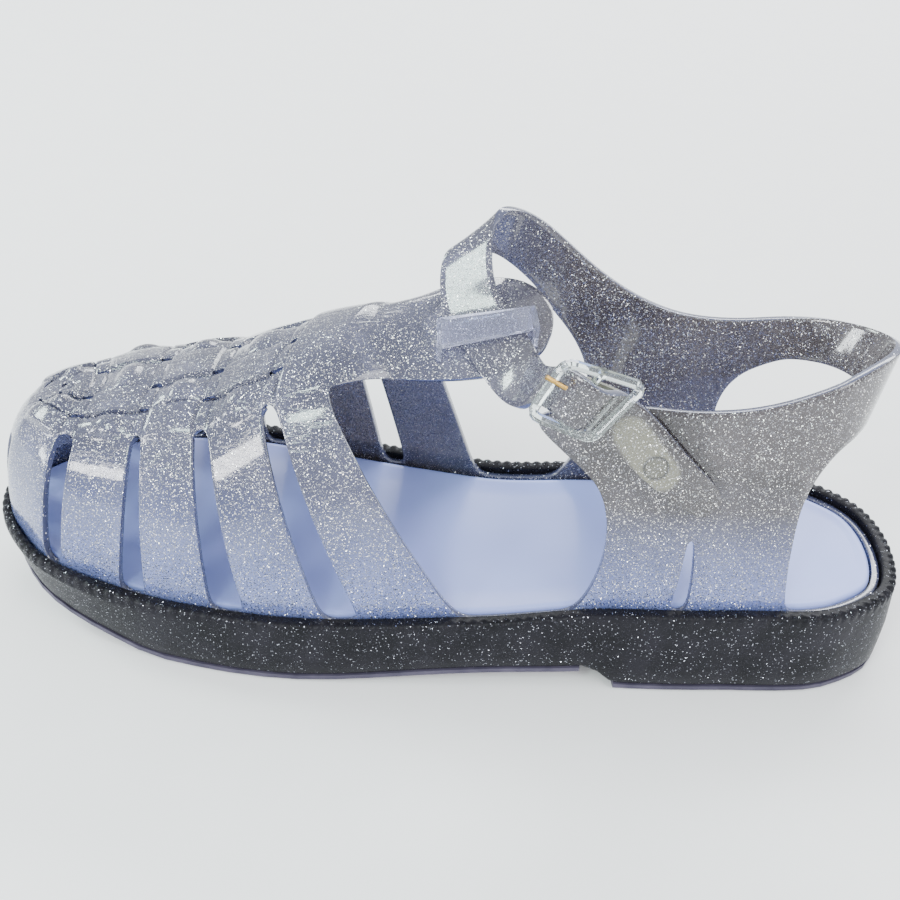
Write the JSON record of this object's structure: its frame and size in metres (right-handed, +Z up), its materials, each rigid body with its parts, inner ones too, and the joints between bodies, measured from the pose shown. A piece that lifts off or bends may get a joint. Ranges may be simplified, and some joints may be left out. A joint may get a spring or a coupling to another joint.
{
  "type": "jelly sandal",
  "caption": "Left jelly sandal with a woven closed toe, side straps, tongue, open heel and a buckled ankle strap on a chunky sole with a low heel.",
  "frame": {"origin": "middle of the shoe's length and width, on the ground", "axes": "+X from toe to heel, +Y from the lateral side with the buckle to the medial side, +Z up"},
  "size_m": [0.2566, 0.0916, 0.1143],
  "materials": {
    "sole_glitter": "dark charcoal moulded plastic with silver glitter, satin",
    "outsole_layer": "paler grey violet wear layer, satin",
    "foot_bed": "smooth pale blue white foot bed, glossy",
    "upper_glitter": "soft clear plastic filled with silver glitter, glossy",
    "clear_plastic": "clear hard plastic, polished",
    "tab_plastic": "clear soft plastic with a yellowish tint, glossy",
    "prong_metal": "polished gold coloured metal"
  },
  "bodies": {
    "root": {"sole": "sole_glitter", "outsole_forepart": "outsole_layer", "outsole_heel": "outsole_layer", "insole": "foot_bed", "upper": "upper_glitter", "keeper_loop": "clear_plastic", "buckle_frame": "clear_plastic", "buckle_tab": "tab_plastic", "rivet": "tab_plastic", "buckle_prong": "prong_metal"}
  },
  "joints": []
}
